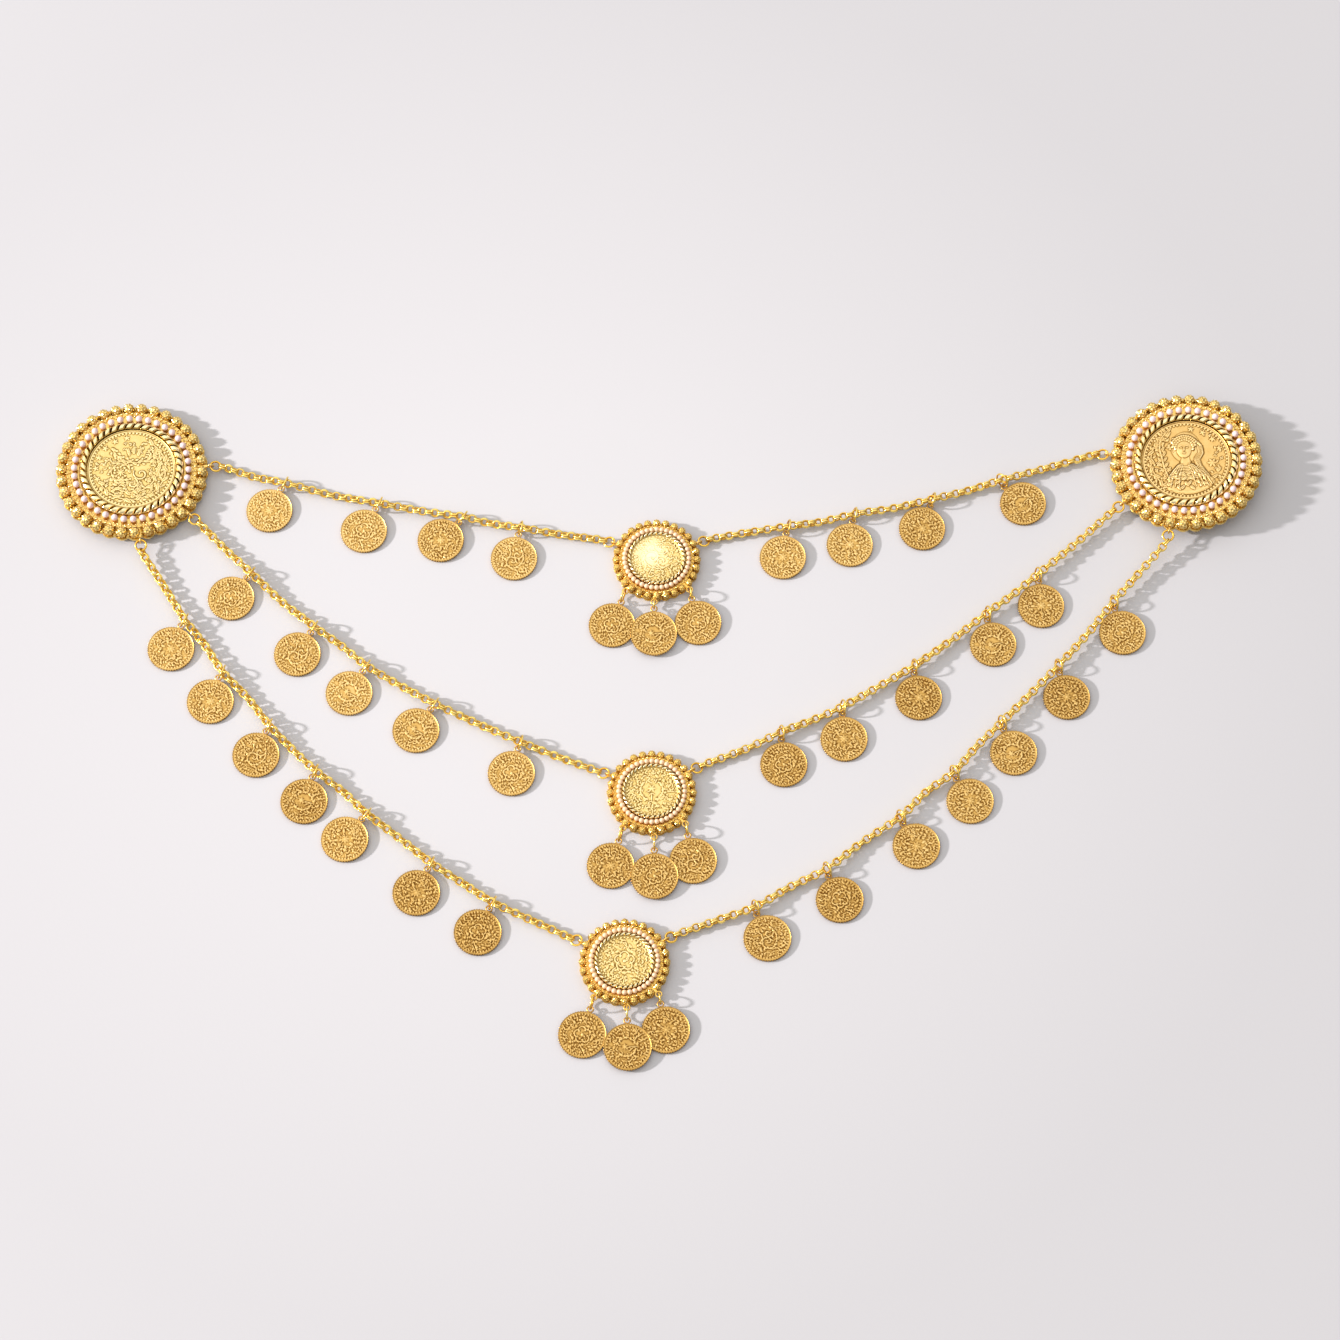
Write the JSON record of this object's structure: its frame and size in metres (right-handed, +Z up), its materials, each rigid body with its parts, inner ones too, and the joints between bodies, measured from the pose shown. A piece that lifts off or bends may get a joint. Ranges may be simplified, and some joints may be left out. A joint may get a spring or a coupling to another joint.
{
  "type": "coin shoulder chain",
  "caption": "Gilt shoulder chain of folk dress: two round coin brooches joined by rows of link chain hung with small coins, with pearl-ringed medallions along the middle.",
  "frame": {"origin": "on the floor below the middle of the whole piece's box, between the two brooches", "axes": "+X from the left brooch to the right brooch as seen in the picture, +Y up the picture, away from the viewer, +Z up from the floor"},
  "size_m": [0.4009, 0.2365, 0.01],
  "materials": {
    "gilt_setting": "gold-plated, bright, with darker gold in the hollows",
    "gilt_coin": "gold-plated, satin field with bright worn relief",
    "gilt_chain": "gold-plated, bright",
    "gilt_pin": "plain, satin",
    "pearl": "imitation pearl, white with a pink tinge, glossy"
  },
  "bodies": {
    "root": {"left_brooch_setting": "gilt_setting", "left_brooch_coin": "gilt_coin", "left_brooch_pearls": "pearl", "left_brooch_pin": "gilt_pin", "right_brooch_setting": "gilt_setting", "right_brooch_coin": "gilt_coin", "right_brooch_pearls": "pearl", "right_brooch_pin": "gilt_pin", "top_medallion_setting": "gilt_setting", "top_medallion_coin": "gilt_coin", "top_medallion_seed_pearls": "pearl", "top_pendant_coins": "gilt_coin", "middle_medallion_setting": "gilt_setting", "middle_medallion_coin": "gilt_coin", "middle_medallion_seed_pearls": "pearl", "middle_pendant_coins": "gilt_coin", "lower_medallion_setting": "gilt_setting", "lower_medallion_coin": "gilt_coin", "lower_medallion_seed_pearls": "pearl", "lower_pendant_coins": "gilt_coin", "top_left_chain": "gilt_chain", "top_left_coin_1": "gilt_coin", "top_left_coin_2": "gilt_coin", "top_left_coin_3": "gilt_coin", "top_left_coin_4": "gilt_coin", "top_right_chain": "gilt_chain", "top_right_coin_1": "gilt_coin", "top_right_coin_2": "gilt_coin", "top_right_coin_3": "gilt_coin", "top_right_coin_4": "gilt_coin", "middle_left_chain": "gilt_chain", "middle_left_coin_1": "gilt_coin", "middle_left_coin_2": "gilt_coin", "middle_left_coin_3": "gilt_coin", "middle_left_coin_4": "gilt_coin", "middle_left_coin_5": "gilt_coin", "middle_right_chain": "gilt_chain", "middle_right_coin_1": "gilt_coin", "middle_right_coin_2": "gilt_coin", "middle_right_coin_3": "gilt_coin", "middle_right_coin_4": "gilt_coin", "middle_right_coin_5": "gilt_coin", "lower_left_chain": "gilt_chain", "lower_left_coin_1": "gilt_coin", "lower_left_coin_2": "gilt_coin", "lower_left_coin_3": "gilt_coin", "lower_left_coin_4": "gilt_coin", "lower_left_coin_5": "gilt_coin", "lower_left_coin_6": "gilt_coin", "lower_left_coin_7": "gilt_coin", "lower_right_chain": "gilt_chain", "lower_right_coin_1": "gilt_coin", "lower_right_coin_2": "gilt_coin", "lower_right_coin_3": "gilt_coin", "lower_right_coin_4": "gilt_coin", "lower_right_coin_5": "gilt_coin", "lower_right_coin_6": "gilt_coin", "lower_right_coin_7": "gilt_coin", "jump_rings": "gilt_chain"}
  },
  "joints": []
}
